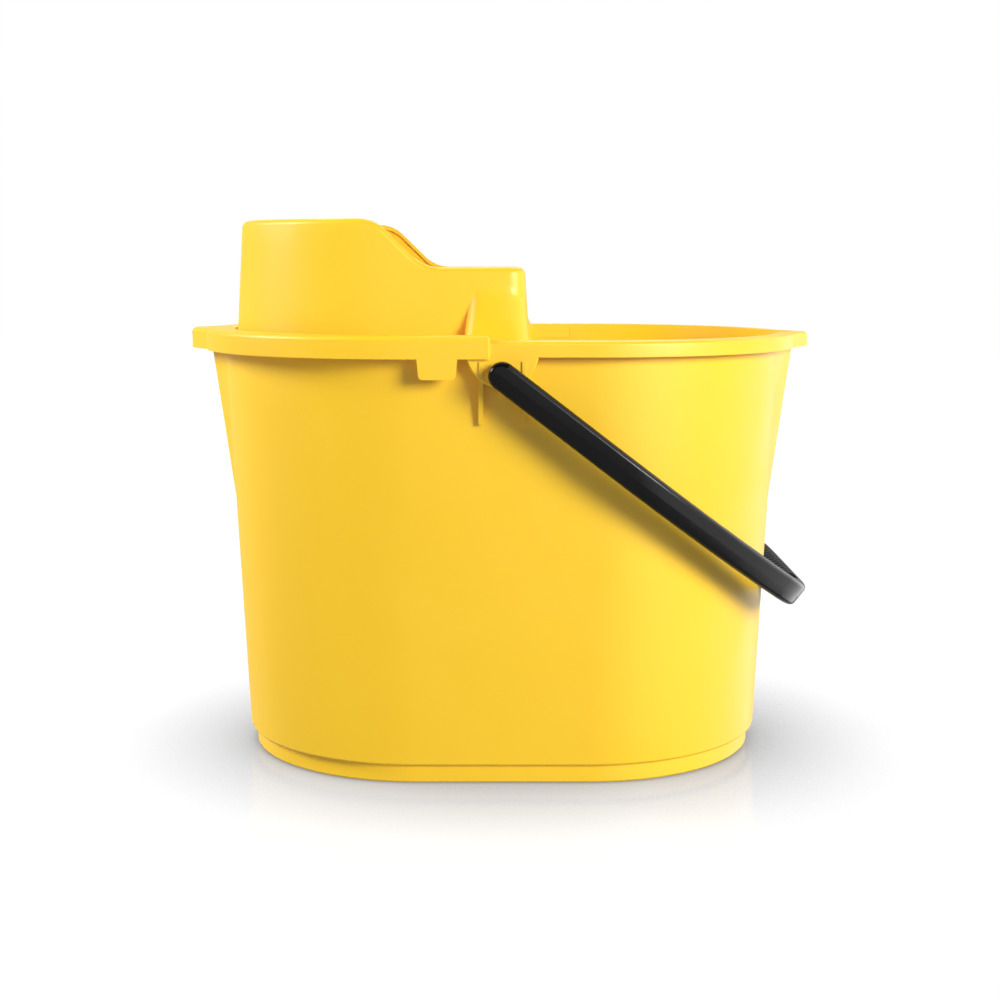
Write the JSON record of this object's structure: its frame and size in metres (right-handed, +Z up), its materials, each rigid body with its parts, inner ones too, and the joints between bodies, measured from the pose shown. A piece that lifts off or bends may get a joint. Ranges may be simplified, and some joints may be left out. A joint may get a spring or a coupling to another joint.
{
  "type": "mop bucket with wringer",
  "caption": "Oval plastic mop bucket with a pouring lip at each end, a lift-out wringer hood and sieve over half of its mouth, and a swinging bail handle with a ribbed grip.",
  "frame": {"origin": "on the floor, under the centre of the tub's plan", "axes": "+X along the tub to its free end, over which the bail hangs; -Y towards the pictured side; +Z up"},
  "size_m": [0.3823, 0.2808, 0.3232],
  "materials": {
    "yellow_plastic": "satin moulded, even yellow",
    "black_plastic": "fine matt moulded black"
  },
  "bodies": {
    "tub": {"bucket": "yellow_plastic"},
    "wringer": {"wringer": "yellow_plastic"},
    "bail": {"handle": "black_plastic"}
  },
  "joints": [
    {"name": "handle_swing", "type": "hinge", "parent": "tub", "child": "bail", "pos_m": [0, 0, 0.2378], "axis": [0, -1, 0], "range_deg": [0, 254.5]},
    {"name": "wringer_lift", "type": "slide", "parent": "tub", "child": "wringer", "axis": [0, 0, 1], "range_m": [0, 0.16]}
  ]
}
